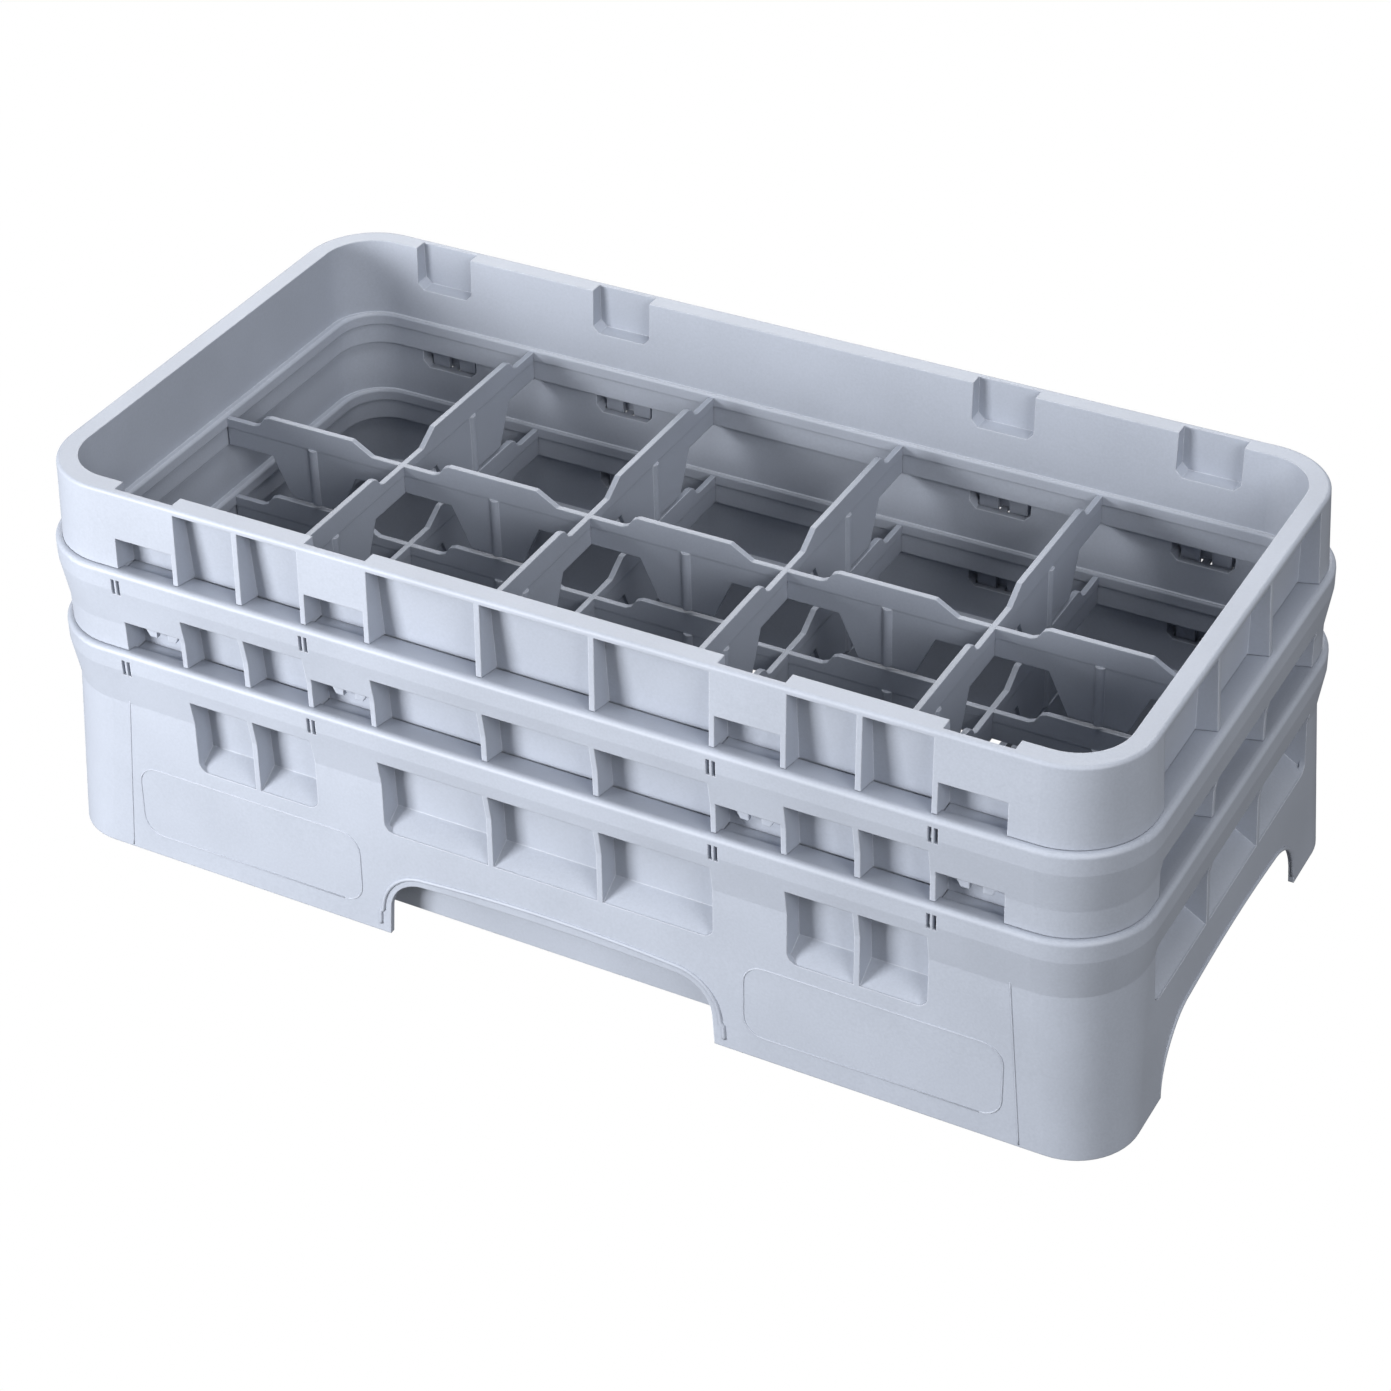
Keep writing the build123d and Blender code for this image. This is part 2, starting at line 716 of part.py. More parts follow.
def floor_lattice():
    """Open lattice that the glasses stand on, resting on the inner wall's flange."""
    half_x = inner_x - wall_lean_x - floor_gap
    half_y = inner_y - wall_lean_y - floor_gap
    step_x = 2 * (half_x - floor_border) / floor_bars_x
    step_y = 2 * (half_y - floor_border) / floor_bars_y
    with BuildPart() as body:
        with BuildSketch(Plane.XY.offset(inner_wall_foot + flange_thick)):
            RectangleRounded(2 * half_x, 2 * half_y, radius_at(half_x))
            RectangleRounded(
                2 * (half_x - floor_border), 2 * (half_y - floor_border), radius_at(half_x - floor_border),
                mode=Mode.SUBTRACT,
            )
            with GridLocations(step_x, step_y, floor_bars_x - 1, 1):
                Rectangle(floor_bar, 2 * half_y - floor_border)
            with GridLocations(step_x, step_y, 1, floor_bars_y - 1):
                Rectangle(2 * half_x - floor_border, floor_bar)
        extrude(amount=floor_thick)
    return body.part


joint_foot = joint_base - tier_pitch
hang = divider_top - tier_pitch + divider_raise + tab_clear
floor_top = inner_wall_foot + flange_thick + floor_thick

# ---- Base rack ----
with BuildPart() as base_shell:
    add(base_wall())
with BuildPart() as base_floor_lattice:
    add(floor_lattice())
with BuildPart() as base_long_divider:
    add(long_divider(joint_foot, floor_top + tab_clear))

# ---- Extenders ----
with BuildPart() as middle_frame:
    add(extender(joint_base, joint_middle, True))
with BuildPart() as middle_snap_prongs:
    add(snap_prongs(joint_base))
with BuildPart() as middle_long_divider:
    add(long_divider(joint_base, joint_base + hang))
with BuildPart() as top_frame:
    add(extender(joint_middle, rim_top, False))
with BuildPart() as top_snap_prongs:
    add(snap_prongs(joint_middle))
with BuildPart() as top_long_divider:
    add(long_divider(joint_middle, joint_middle + hang))

pieces = {
    "base_shell": base_shell,
    "base_floor_lattice": base_floor_lattice,
    "base_long_divider": base_long_divider,
    "middle_frame": middle_frame,
    "middle_snap_prongs": middle_snap_prongs,
    "middle_long_divider": middle_long_divider,
    "top_frame": top_frame,
    "top_snap_prongs": top_snap_prongs,
    "top_long_divider": top_long_divider,
}

# ---- Cross dividers, one at each crossing of each tier ----
tiers = {
    "base": (joint_foot, floor_top + tab_clear),
    "middle": (joint_base, joint_base + hang),
    "top": (joint_middle, joint_middle + hang),
}
for tier, (joint, foot) in tiers.items():
    for number, x in enumerate(crossings, start=1):
        with BuildPart() as cross:
            add(cross_divider(x, joint, foot))
        pieces[f"{tier}_cross_divider_{number}"] = cross

for name, piece in pieces.items():
    piece.part.label = name
    export_step(piece.part, f"parts/{name}.step")
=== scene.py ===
import math

import bmesh
import bpy
from bpy.props import FloatProperty, PointerProperty, StringProperty
from mathutils import Matrix, Vector


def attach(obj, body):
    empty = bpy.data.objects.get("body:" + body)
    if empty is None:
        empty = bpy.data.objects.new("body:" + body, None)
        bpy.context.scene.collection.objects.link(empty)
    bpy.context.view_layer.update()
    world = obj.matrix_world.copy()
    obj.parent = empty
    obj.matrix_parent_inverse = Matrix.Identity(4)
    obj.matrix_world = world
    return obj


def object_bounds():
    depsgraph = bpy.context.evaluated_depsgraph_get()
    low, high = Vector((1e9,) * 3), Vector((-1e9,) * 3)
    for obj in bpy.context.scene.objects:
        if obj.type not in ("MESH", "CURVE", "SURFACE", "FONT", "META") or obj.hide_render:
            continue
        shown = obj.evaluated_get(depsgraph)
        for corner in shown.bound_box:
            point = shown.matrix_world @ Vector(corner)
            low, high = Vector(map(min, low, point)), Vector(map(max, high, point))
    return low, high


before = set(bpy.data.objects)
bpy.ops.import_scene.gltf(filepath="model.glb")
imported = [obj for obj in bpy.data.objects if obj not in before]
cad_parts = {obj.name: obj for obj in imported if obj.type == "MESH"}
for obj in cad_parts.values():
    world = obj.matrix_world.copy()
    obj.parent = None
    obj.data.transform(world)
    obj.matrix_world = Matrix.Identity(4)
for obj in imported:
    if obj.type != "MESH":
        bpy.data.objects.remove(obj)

bl_info = {
    "name": "Glass rack with two extenders",
    "version": (1, 0, 0),
    "blender": (4, 5, 0),
    "location": "3D View > Sidebar > Rack",
    "description": "Finishes a half-size moulded glass rack and lights it in a white room",
    "category": "Object",
}

MM = 0.001
LOAD_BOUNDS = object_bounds()

# ---- The base's arches and mould lines (mm): along each side from its middle, and up from the floor ----
LONG_ARCH = {"foot": 77.8, "half": 75.8, "shoulder": 29.0, "crown": 31.5, "radius": 17.0}
END_ARCH = {"foot": 76.0, "half": 74.5, "shoulder": 30.5, "crown": 32.5, "radius": 27.0}
LONG_BEAD = {"outset": 4.8, "low": 4.0}
END_BEAD = {"outset": 1.6, "low": 3.0}
LEG_STEPS = 6                # points on a bead's leg, its corner and its bow
CORNER_STEPS = 12
BOW_STEPS = 24
PANEL = {"near": 91.0, "far": 204.0, "low": 11.0, "high": 46.0, "radius": 9.0}
PANEL_STEPS = 6              # steps round one corner of a panel outline
WITNESS_FOOT = 212.0         # where a witness line meets the floor
WITNESS_LEAN = 8.0 / 93.0    # how far it leans in for each millimetre of height
WITNESS_TOP = 80             # height at which it has ended
WITNESS_STEP = 3             # height between two of its points
LINE_SIDES = 8               # facets round a raised line

OUTWARD = {
    "front": Vector((0, -1, 0)),
    "back": Vector((0, 1, 0)),
    "left": Vector((-1, 0, 0)),
    "right": Vector((1, 0, 0)),
}

# ---- The stage (m) ----
# Painted shade: a dark sheet laid under the floor lattice darkens the gaps, where the rack's inside lies in
# shade.
SHEET_HALF = (225.0 * MM, 100.0 * MM)    # dark sheet, half length and half width
SHEET_LIFT = 0.5 * MM
SHADE_SHEET_DARK, SHADE_SHEET_LIGHT = "#2A2E36", "#353A44"
SHADE_SHEET_MOTTLE = 25.0 * MM                  # size of the dark sheet's mottling
SOFTBOXES = (                            # name, power setting, length and width, place
    ("key softbox", "key_power", (0.5, 0.5), (-0.70, -1.05, 0.34)),
    ("back softbox", "back_power", (1.6, 1.0), (-0.85, 1.50, 1.15)),
    ("overhead softbox", "top_power", (1.0, 1.0), (0.20, -0.20, 2.00)),
    ("right fill", "fill_power", (1.0, 1.0), (1.80, -1.20, 1.30)),
)


def linear(hex_colour):
    """sRGB hex to the linear RGBA that a shader socket takes."""
    text = hex_colour.lstrip("#")
    out = []
    for i in (0, 2, 4):
        c = int(text[i:i + 2], 16) / 255
        out.append(c / 12.92 if c <= 0.04045 else ((c + 0.055) / 1.055) ** 2.4)
    return (*out, 1.0)


def add_node(tree, kind, inputs=None, **settings):
    """Adds a node with its settings; an input may be a value or another node's output socket."""
    node = tree.nodes.new(kind)
    for key, value in settings.items():
        setattr(node, key, value)
    for key, value in (inputs or {}).items():
        socket = node.inputs[key]
        if isinstance(value, bpy.types.NodeSocket):
            tree.links.new(value, socket)
        else:
            socket.default_value = value
    return node


# ---------------------------------------------------------------- properties

class RackFinishSettings(bpy.types.PropertyGroup):
    """Colours and grain of the moulded polypropylene, with a painted highlight along the edges and painted
    shade in the dividers' darker grey.
    """

    wall_colour: StringProperty(name="Wall colour", description="Soft grey of the moulded walls, sRGB hex",
                                default="#9DA3AF")
    # Painted shade: the dividers and the floor lattice take a darker copy of the walls' grey, so that the
    # inside of the cells reads as in shade.
    divider_shaded_colour: StringProperty(name="Divider colour", description="Soft grey of the dividers, sRGB hex",
                                   default="#8F95A1")
    grain: FloatProperty(name="Grain", description="Size of the mould's etched grain", default=1.1 * MM,
                         unit="LENGTH", min=0.1 * MM)
    grain_depth: FloatProperty(name="Grain depth", description="Depth of the etched grain", default=0.12 * MM,
                               unit="LENGTH")
    flow: FloatProperty(name="Flow marks", description="Size of the slow unevenness that moulding leaves",
                        default=60.0 * MM, unit="LENGTH", min=1.0 * MM)
    tint: FloatProperty(name="Tint", description="How far grain and flow marks change the colour",
                        default=0.07, min=0.0, max=1.0)
    roughness: FloatProperty(name="Roughness", description="Roughness of the etched plastic", default=0.5,
                             min=0.0, max=1.0)
    edge_round: FloatProperty(name="Edge round", description="Radius that the mould leaves on every edge",
                              default=0.7 * MM, unit="LENGTH")
    # Painted highlight: a pale tone mixed into the colour along the rounded edges, where they catch the
    # light.
    edge_highlight_colour: StringProperty(name="Edge colour", description="Pale tone along the rounded edges, sRGB hex",
                                default="#D5DAE4")


class RackLineSettings(bpy.types.PropertyGroup):
    """Raised lines that the mould leaves on the base's wall."""

    foot_y: FloatProperty(name="Foot, long side", description="Half width of the base where it stands",
                          default=127.1 * MM, unit="LENGTH")
    fall_y: FloatProperty(name="Fall, long side", description="How far the long wall draws in at the waist",
                          default=2.2 * MM, unit="LENGTH")
    foot_x: FloatProperty(name="Foot, end", description="Half length of the base where it stands",
                          default=250.8 * MM, unit="LENGTH")
    fall_x: FloatProperty(name="Fall, end", description="How far the end wall draws in at the waist",
                          default=2.9 * MM, unit="LENGTH")
    waist: FloatProperty(name="Waist", description="Height over which the wall draws in", default=77.6 * MM,
                         unit="LENGTH")
    bead: FloatProperty(name="Bead", description="Radius of the bead round the arches", default=0.9 * MM,
                        unit="LENGTH")
    line: FloatProperty(name="Line", description="Radius of the thin mould lines", default=0.35 * MM,
                        unit="LENGTH")


class RackCameraSettings(bpy.types.PropertyGroup):
    """Where the camera stands."""

    azimuth: FloatProperty(name="Azimuth", description="Turn of the view round the rack, from its long side",
                           default=math.radians(29.36), subtype="ANGLE")
    elevation: FloatProperty(name="Elevation", description="Height of the view above the horizon",
                             default=math.radians(32.39), subtype="ANGLE")
    roll: FloatProperty(name="Roll", description="Tilt of the camera about its own axis",
                        default=math.radians(-1.69), subtype="ANGLE")
    distance: FloatProperty(name="Distance", description="Camera to the middle of the rack, along the view",
                            default=1.47325, unit="LENGTH")
    aside: FloatProperty(name="Aside", description="Middle of the rack to the right of the camera's axis",
                         default=0.002246, unit="LENGTH")
    below: FloatProperty(name="Below", description="Middle of the rack below the camera's axis",
                         default=0.058232, unit="LENGTH")
    lens: FloatProperty(name="Lens", description="Focal length on the sensor", default=89.06,
                        subtype="DISTANCE_CAMERA")
    sensor: FloatProperty(name="Sensor", description="Width of the sensor", default=36.0,
                          subtype="DISTANCE_CAMERA")
    shift_across: FloatProperty(name="Shift across", description="Sideways, as a share of the sensor",
                                default=0.0082)
    shift_up: FloatProperty(name="Shift up", description="Upwards, as a share of the sensor",
                            default=-0.1317)
    clip_near: FloatProperty(name="Nearest", description="Nearest thing that the camera sees", default=0.05,
                             unit="LENGTH")
    clip_far: FloatProperty(name="Farthest", description="Farthest thing that the camera sees", default=50.0,
                            unit="LENGTH")


class RackLightSettings(bpy.types.PropertyGroup):
    """Strengths of the studio lights."""

    key_power: FloatProperty(name="Key power", description="Softbox, low and front left", default=25.0,
                             unit="POWER")
    back_power: FloatProperty(name="Back power", description="Softbox behind, for a sheen on the upper faces",
                              default=30.0, unit="POWER")
    top_power: FloatProperty(name="Top power", description="Overhead softbox", default=20.0, unit="POWER")
    fill_power: FloatProperty(name="Fill power", description="Fill from the right", default=34.0,
                              unit="POWER")
    room: FloatProperty(name="Room light", description="Light that the white room throws on the rack",
                        default=0.16)


# ---------------------------------------------------------------- materials

def moulded_polypropylene(name, hex_colour, settings):
    """Injection-moulded polypropylene with an etched, satin-matte grain.

    The grain scatters the highlight into a soft sheen; slow flow marks from the moulding give the
    broad faces a faint unevenness; the small round on every edge shows as a thin pale line, a painted
    highlight mixed into the colour.
    """
    material = bpy.data.materials.new(name)
    material.use_nodes = True
    tree = material.node_tree
    tree.nodes.clear()
    coord = add_node(tree, "ShaderNodeTexCoord")

    # Etched grain: a spark-eroded texture, drawn coarser than the real one so that it shows.
    fine = add_node(tree, "ShaderNodeTexNoise", {
        "Vector": coord.outputs["Object"], "Scale": 1.0 / settings.grain, "Detail": 3.0, "Roughness": 0.6,
    })
    # Flow marks: slow variation over centimetres.
    flow = add_node(tree, "ShaderNodeTexNoise", {
        "Vector": coord.outputs["Object"], "Scale": 1.0 / settings.flow, "Detail": 2.0, "Roughness": 0.5,
    })

    # Colour: the plastic's own tone, a little darker or lighter with the grain and the flow marks.
    base = linear(hex_colour)
    both = add_node(tree, "ShaderNodeMix", {
        "Factor": 0.55, "A": fine.outputs["Fac"], "B": flow.outputs["Fac"],
    }, data_type="FLOAT")
    ramp = add_node(tree, "ShaderNodeMapRange", {
        "Value": both.outputs["Result"], "From Min": 0.35, "From Max": 0.65,
    })
    colour = add_node(tree, "ShaderNodeMix", {"Factor": ramp.outputs["Result"]}, data_type="RGBA")
    colour.inputs["A"].default_value = tuple(c * (1 - settings.tint) for c in base[:3]) + (1.0,)
    colour.inputs["B"].default_value = tuple(min(1.0, c * (1 + settings.tint)) for c in base[:3]) + (1.0,)

    # Edges: where the rounded normal leaves the flat one, the tone turns pale, a painted highlight along the
    # edges.
    edge = add_node(tree, "ShaderNodeBevel", {"Radius": settings.edge_round}, samples=4)
    flat = add_node(tree, "ShaderNodeNewGeometry")
    match = add_node(tree, "ShaderNodeVectorMath", operation="DOT_PRODUCT")
    tree.links.new(edge.outputs["Normal"], match.inputs[0])
    tree.links.new(flat.outputs["Normal"], match.inputs[1])
    edge_highlight_mask = add_node(tree, "ShaderNodeMapRange", {
        "Value": match.outputs["Value"], "From Min": 0.98, "From Max": 0.80, "To Min": 0.0, "To Max": 0.55,
    })
    highlit_colour = add_node(tree, "ShaderNodeMix", {"Factor": edge_highlight_mask.outputs["Result"]}, data_type="RGBA")
    tree.links.new(colour.outputs["Result"], highlit_colour.inputs["A"])
    highlit_colour.inputs["B"].default_value = linear(settings.edge_highlight_colour)

    # Surface: satin, slightly rougher on the peaks of the grain.
    rough = add_node(tree, "ShaderNodeMapRange", {
        "Value": fine.outputs["Fac"], "From Min": 0.3, "From Max": 0.7,
        "To Min": settings.roughness - 0.06, "To Max": settings.roughness + 0.08,
    })
    bump = add_node(tree, "ShaderNodeBump", {
        "Height": fine.outputs["Fac"], "Strength": 0.45, "Distance": settings.grain_depth,
        "Normal": edge.outputs["Normal"],
    })
    shader = add_node(tree, "ShaderNodeBsdfPrincipled", {
        "Base Color": highlit_colour.outputs["Result"], "Roughness": rough.outputs["Result"],
        "Normal": bump.outputs["Normal"], "IOR": 1.49, "Metallic": 0.0,
    })
    add_node(tree, "ShaderNodeOutputMaterial", {"Surface": shader.outputs["BSDF"]})
    return material


def painted_shade_finish(name, dark, light, mottle):
    """Dark sheet of painted shade under the floor lattice: a dull tone that swallows the light, with a slow
    mottling and hardly a highlight.
    """
    material = bpy.data.materials.new(name)
    material.use_nodes = True
    tree = material.node_tree
    tree.nodes.clear()
    coord = add_node(tree, "ShaderNodeTexCoord")
    mottling_noise = add_node(tree, "ShaderNodeTexNoise", {"Vector": coord.outputs["Object"], "Scale": 1.0 / mottle})
    tone = add_node(tree, "ShaderNodeMix", {"Factor": mottling_noise.outputs["Fac"]}, data_type="RGBA")
    tone.inputs["A"].default_value = linear(dark)
    tone.inputs["B"].default_value = linear(light)
    shader = add_node(tree, "ShaderNodeBsdfPrincipled", {
        "Base Color": tone.outputs["Result"], "Roughness": 0.9,
    })
    add_node(tree, "ShaderNodeOutputMaterial", {"Surface": shader.outputs["BSDF"]})
    return material


def finished(name):
    """A material that an earlier operator made."""
    material = bpy.data.materials.get(name)
    if material is None:
        raise RuntimeError(f"the material {name} has to be made first")
    return material


def paint(nodes, material):
    """Puts one material on every slot of these CAD nodes."""
    for node in nodes:
        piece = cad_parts[node]
        if not piece.material_slots:
            piece.data.materials.append(material)
        for place in piece.material_slots:
            place.link = "OBJECT"
            place.material = material


# ---------------------------------------------------------------- raised lines

def raised_line(name, points, outward, radius, material):
    """Half-sunk round line along points on one side of the base; it rides on the base's body."""
    mesh = bpy.data.meshes.new(name)
    build = bmesh.new()
    rings = []
    for i, point in enumerate(points):
        before = points[max(i - 1, 0)]
        after = points[min(i + 1, len(points) - 1)]
        along = (after - before).normalized()
        across = along.cross(outward).normalized()
        ring = []
        for k in range(LINE_SIDES):
            turn = 2 * math.pi * k / LINE_SIDES
            spoke = math.cos(turn) * across + math.sin(turn) * outward
            ring.append(build.verts.new(point + radius * spoke))
        rings.append(ring)
    for low, high in zip(rings, rings[1:]):
        for k in range(LINE_SIDES):
            following = (k + 1) % LINE_SIDES
            build.faces.new((low[k], low[following], high[following], high[k]))
    build.faces.new(reversed(rings[0]))
    build.faces.new(rings[-1])
    bmesh.ops.recalc_face_normals(build, faces=build.faces)
    for face in build.faces:
        face.smooth = True
    build.to_mesh(mesh)
    build.free()
    mesh.materials.append(material)
    piece = bpy.data.objects.new(name, mesh)
    bpy.context.scene.collection.objects.link(piece)
    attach(piece, "base")


def arch_path(foot, half, shoulder, crown, radius, outset, low):
    """Points of a line outside an arch: up one leg, round the corner, over the bow and down again."""
    half, shoulder, crown, radius = half + outset, shoulder + outset, crown + outset, radius + outset
    side = []
    for k in range(LEG_STEPS):
        z = low + (shoulder - radius - low) * k / LEG_STEPS
        side.append((foot + outset + (half - foot - outset) * max(z, 0.0) / shoulder, z))
    for k in range(CORNER_STEPS + 1):
        turn = math.pi / 2 * k / CORNER_STEPS
        side.append((half - radius + radius * math.cos(turn), shoulder - radius + radius * math.sin(turn)))
    run = half - radius
    bow = []
    for k in range(1, BOW_STEPS):
        u = run - 2 * run * k / BOW_STEPS
        bow.append((u, shoulder + (crown - shoulder) * (1 - (u / run) ** 2)))
    return side + bow + [(-u, z) for u, z in reversed(side)]


def round_box(u_low, u_high, z_low, z_high, radius):
    """Closed rounded rectangle as points, its first point repeated at the end."""
    points = []
    corners = ((u_high, z_low, -90), (u_high, z_high, 0), (u_low, z_high, 90), (u_low, z_low, 180))
    for u, z, start in corners:
        centre_u = u + (radius if u == u_low else -radius)
        centre_z = z + (radius if z == z_low else -radius)
        for k in range(PANEL_STEPS + 1):
            turn = math.radians(start + 90 * k / PANEL_STEPS)
            points.append((centre_u + radius * math.cos(turn), centre_z + radius * math.sin(turn)))
    return points + points[:1]


def on_side(points, side, settings, limit):
    """Places flat points (along the side, height, mm) on one of the base's four leaning walls."""
    placed = []
    for u, z in points:
        share = min(z * MM / settings.waist, 1.0)
        if side in ("front", "back"):
            sign = -1 if side == "front" else 1
            out = min(settings.foot_y - settings.fall_y * share, limit)
            placed.append(Vector((u * MM, sign * out, z * MM)))
        else:
            sign = -1 if side == "left" else 1
            out = min(settings.foot_x - settings.fall_x * share, limit)
            placed.append(Vector((sign * out, u * MM, z * MM)))
    return placed


# ---------------------------------------------------------------- stage

def place_camera(scene, view, middle):
    """Camera turned, raised and rolled, then set back from the rack's middle."""
    a, e, r = view.azimuth, view.elevation, view.roll
    right = Vector((math.cos(a), math.sin(a), 0))
    forward = Vector((-math.sin(a) * math.cos(e), math.cos(a) * math.cos(e), -math.sin(e)))
    up = right.cross(forward)
    side = math.cos(r) * right + math.sin(r) * up
    head = -math.sin(r) * right + math.cos(r) * up
    place = middle - view.distance * forward - view.aside * side + view.below * head
    data = bpy.data.cameras.new("studio camera")
    data.lens = view.lens
    data.sensor_width = view.sensor
    data.shift_x = view.shift_across
    data.shift_y = view.shift_up
    data.clip_start = view.clip_near
    data.clip_end = view.clip_far
    camera = bpy.data.objects.new("studio camera", data)
    turn = Matrix((side, head, -forward)).transposed().to_4x4()
    camera.matrix_world = Matrix.Translation(place) @ turn
    scene.collection.objects.link(camera)
    scene.camera = camera


def lay_sheet(scene):
    """Dark sheet of painted shade on the table under the floor lattice, well inside the walls, where the
    rack's inside lies in shade.
    """
    mesh = bpy.data.meshes.new("dark sheet")
    build = bmesh.new()
    bmesh.ops.create_grid(build, x_segments=1, y_segments=1, size=1.0)
    build.to_mesh(mesh)
    build.free()
    mesh.materials.append(painted_shade_finish("dark_woven_felt", SHADE_SHEET_DARK, SHADE_SHEET_LIGHT, SHADE_SHEET_MOTTLE))
    sheet = bpy.data.objects.new("dark_sheet", mesh)
    sheet.scale = (*SHEET_HALF, 1.0)
    sheet.location = (0, 0, SHEET_LIFT)
    scene.collection.objects.link(sheet)


def hang_softbox(scene, name, power, size, place, aim):
    """Rectangular softbox turned towards the rack."""
    lamp = bpy.data.lights.new(name, "AREA")
    lamp.shape = "RECTANGLE"
    lamp.size, lamp.size_y = size
    lamp.energy = power
    softbox = bpy.data.objects.new(name, lamp)
    softbox.location = place
    softbox.rotation_euler = (aim - place).to_track_quat("-Z", "Y").to_euler()
    scene.collection.objects.link(softbox)


def paint_room(scene, strength):
    """White room: plain white to the eye, dim as a light, so that the recesses stay dark."""
    world = bpy.data.worlds.new("white room")
    world.use_nodes = True
    tree = world.node_tree
    tree.nodes.clear()
    path = add_node(tree, "ShaderNodeLightPath")
    dim = add_node(tree, "ShaderNodeBackground", {"Color": linear("#FFFFFF"), "Strength": strength})
    white = add_node(tree, "ShaderNodeBackground", {"Color": linear("#FFFFFF"), "Strength": 1.0})
    room = add_node(tree, "ShaderNodeMixShader", {"Fac": path.outputs["Is Camera Ray"]})
    tree.links.new(dim.outputs["Background"], room.inputs[1])
    tree.links.new(white.outputs["Background"], room.inputs[2])
    add_node(tree, "ShaderNodeOutputWorld", {"Surface": room.outputs["Shader"]})
    scene.world = world


# ---------------------------------------------------------------- operators

class RACK_OT_finish_walls(bpy.types.Operator):
    """Gives the base and the extenders' frames their moulded finish."""

    bl_idname = "rack.finish_walls"
    bl_label = "Finish walls"

    def execute(self, context):
        settings = context.scene.rack_finish
        wall = moulded_polypropylene("moulded_polypropylene_wall", settings.wall_colour, settings)
        paint(["base_shell", "middle_frame", "top_frame"], wall)
        return {"FINISHED"}


class RACK_OT_finish_prongs(bpy.types.Operator):
    """Gives the snap prongs the same finish as the walls they are moulded with."""

    bl_idname = "rack.finish_prongs"
    bl_label = "Finish snap prongs"

    def execute(self, context):
        paint(["middle_snap_prongs", "top_snap_prongs"], finished("moulded_polypropylene_wall"))
        return {"FINISHED"}


class RACK_OT_mould_lines(bpy.types.Operator):
    """Adds the beads round the arches, the witness lines and the rounded panel outlines of the base."""

    bl_idname = "rack.mould_lines"
    bl_label = "Mould lines"

    def execute(self, context):
        settings = context.scene.rack_lines
        wall = finished("moulded_polypropylene_wall")
        face_x, face_y = LOAD_BOUNDS[1].x, LOAD_BOUNDS[1].y
        long_arch = arch_path(**LONG_ARCH, **LONG_BEAD)
        end_arch = arch_path(**END_ARCH, **END_BEAD)
        arches = {"front": long_arch, "back": long_arch, "left": end_arch, "right": end_arch}
        for side, arch in arches.items():
            face = face_y if arch is long_arch else face_x
            points = on_side(arch, side, settings, face - settings.bead)
            raised_line(f"{side}_arch_bead", points, OUTWARD[side], settings.bead, wall)
        heights = range(1, WITNESS_TOP, WITNESS_STEP)
        for side in ("front", "back"):
            for sign, hand in ((-1, "low"), (1, "high")):
                witness = [(sign * (WITNESS_FOOT - WITNESS_LEAN * z), z) for z in heights]
                points = on_side(witness, side, settings, face_y - settings.line)
                raised_line(f"{side}_witness_line_{hand}", points, OUTWARD[side], settings.line, wall)
                low, high = sorted((sign * PANEL["near"], sign * PANEL["far"]))
                panel = round_box(low, high, PANEL["low"], PANEL["high"], PANEL["radius"])
                points = on_side(panel, side, settings, face_y - settings.line)
                raised_line(f"{side}_panel_outline_{hand}", points, OUTWARD[side], settings.line, wall)
        return {"FINISHED"}


class RACK_OT_finish_dividers(bpy.types.Operator):
    """Gives the long and cross dividers of every tier their moulded finish, in a darker grey that paints the
    shade inside the cells.
    """

    bl_idname = "rack.finish_dividers"
    bl_label = "Finish dividers"

    def execute(self, context):
        settings = context.scene.rack_finish
        plastic = moulded_polypropylene("moulded_polypropylene_divider", settings.divider_shaded_colour, settings)
        names = [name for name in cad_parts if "divider" in name]
        if not names:
            raise RuntimeError("the rack has no dividers to finish")
        paint(names, plastic)
        return {"FINISHED"}


class RACK_OT_finish_floor(bpy.types.Operator):
    """Gives the floor lattice the same finish as the dividers, with their darker grey of painted shade."""

    bl_idname = "rack.finish_floor"
    bl_label = "Finish floor"

    def execute(self, context):
        paint(["base_floor_lattice"], finished("moulded_polypropylene_divider"))
        return {"FINISHED"}


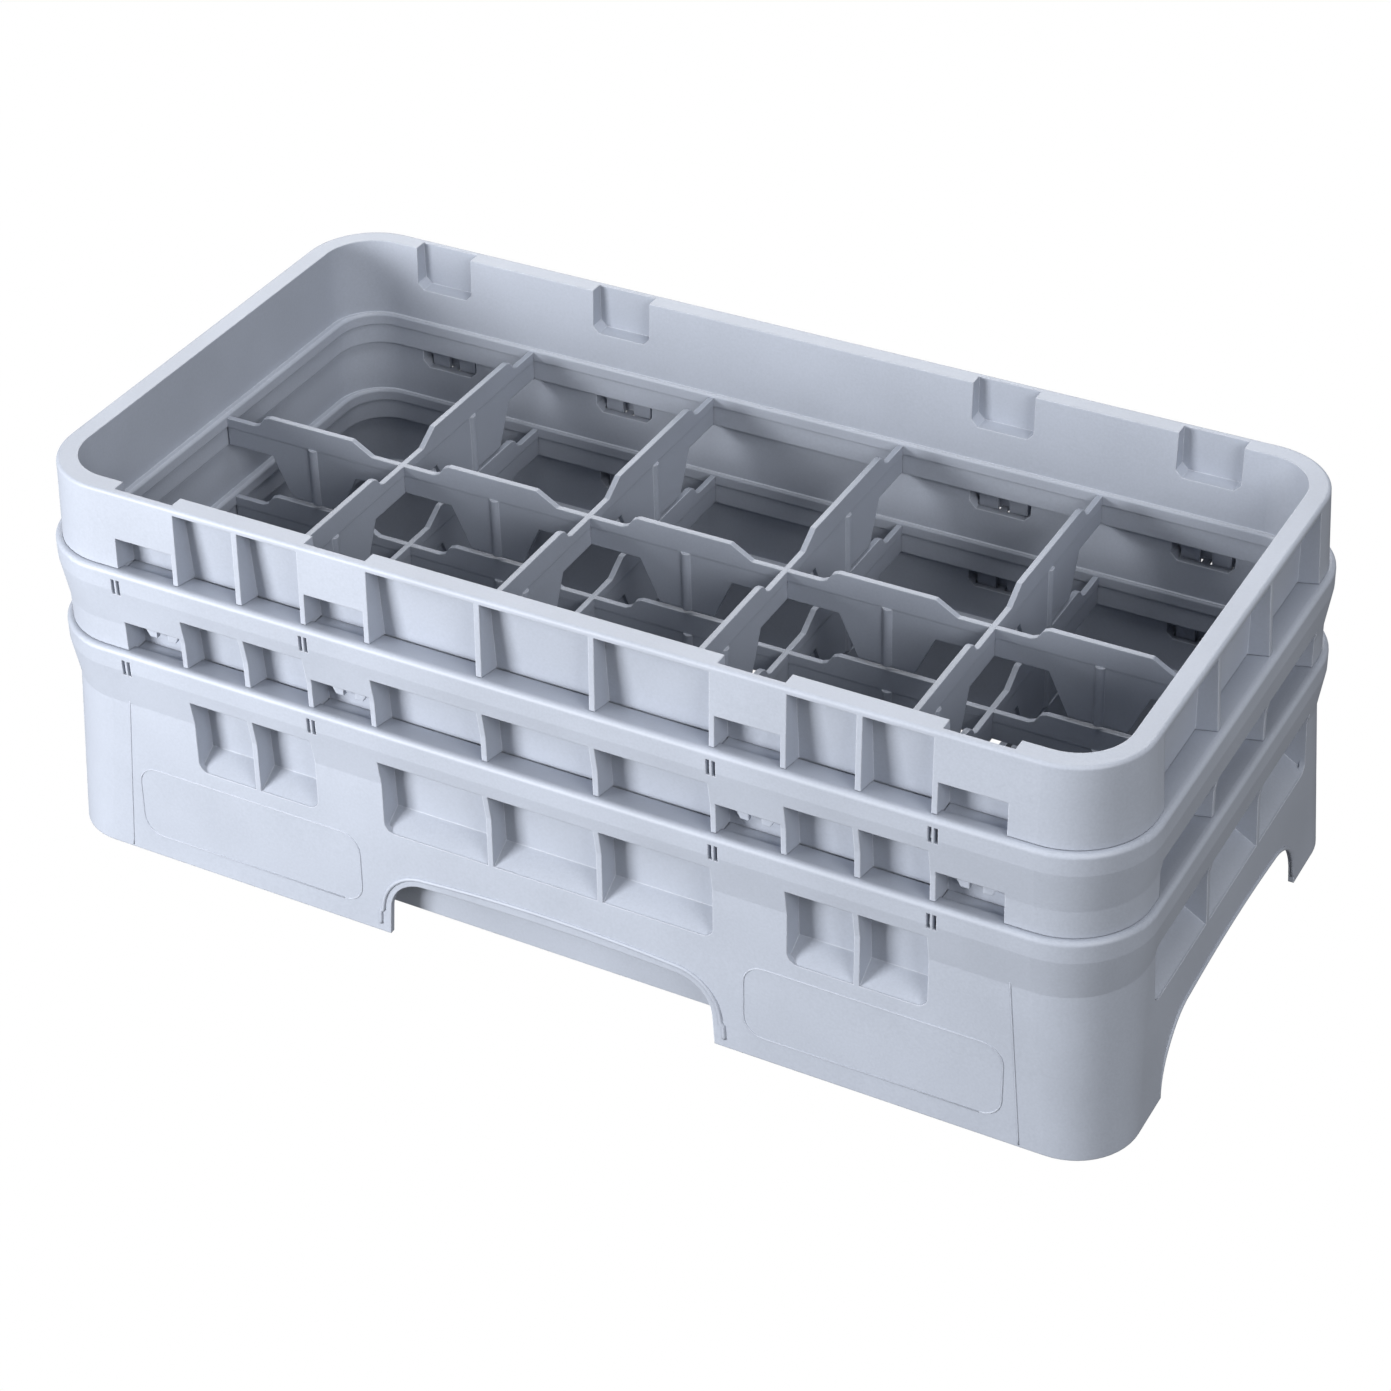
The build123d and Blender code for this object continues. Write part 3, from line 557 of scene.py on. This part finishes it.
class RACK_OT_set_stage(bpy.types.Operator):
    """Sets out the camera, the dark sheet of painted shade under the rack, the softboxes and the white room.
    """

    bl_idname = "rack.set_stage"
    bl_label = "Set stage"

    def execute(self, context):
        scene = context.scene
        low, high = LOAD_BOUNDS
        middle = (low + high) / 2
        place_camera(scene, scene.rack_camera, middle)
        lay_sheet(scene)
        lights = scene.rack_lights
        for name, power, size, place in SOFTBOXES:
            hang_softbox(scene, name, getattr(lights, power), size, Vector(place), middle)
        paint_room(scene, lights.room)
        scene.view_settings.view_transform = "Standard"
        return {"FINISHED"}


class RACK_PT_panel(bpy.types.Panel):
    """Lists the rack's operators and settings."""

    bl_idname = "RACK_PT_panel"
    bl_label = "Glass rack"
    bl_space_type = "VIEW_3D"
    bl_region_type = "UI"
    bl_category = "Rack"

    def draw(self, context):
        layout = self.layout
        for name in ("rack_finish", "rack_lines", "rack_camera", "rack_lights"):
            group = getattr(context.scene, name)
            box = layout.box()
            for key in group.__annotations__:
                box.prop(group, key)
        for step in STEPS:
            layout.operator(step.bl_idname)


GROUPS = (RackFinishSettings, RackLineSettings, RackCameraSettings, RackLightSettings)
STEPS = (RACK_OT_finish_walls, RACK_OT_finish_prongs, RACK_OT_mould_lines, RACK_OT_finish_dividers,
         RACK_OT_finish_floor, RACK_OT_set_stage)
CLASSES = GROUPS + STEPS + (RACK_PT_panel,)


def register():
    for kind in CLASSES:
        bpy.utils.register_class(kind)
    bpy.types.Scene.rack_finish = PointerProperty(type=RackFinishSettings)
    bpy.types.Scene.rack_lines = PointerProperty(type=RackLineSettings)
    bpy.types.Scene.rack_camera = PointerProperty(type=RackCameraSettings)
    bpy.types.Scene.rack_lights = PointerProperty(type=RackLightSettings)


def unregister():
    for name in ("rack_lights", "rack_camera", "rack_lines", "rack_finish"):
        delattr(bpy.types.Scene, name)
    for kind in reversed(CLASSES):
        bpy.utils.unregister_class(kind)


def main():
    register()
    for step in STEPS:
        group, name = step.bl_idname.split(".")
        getattr(getattr(bpy.ops, group), name)()


if __name__ == "__main__":
    main()
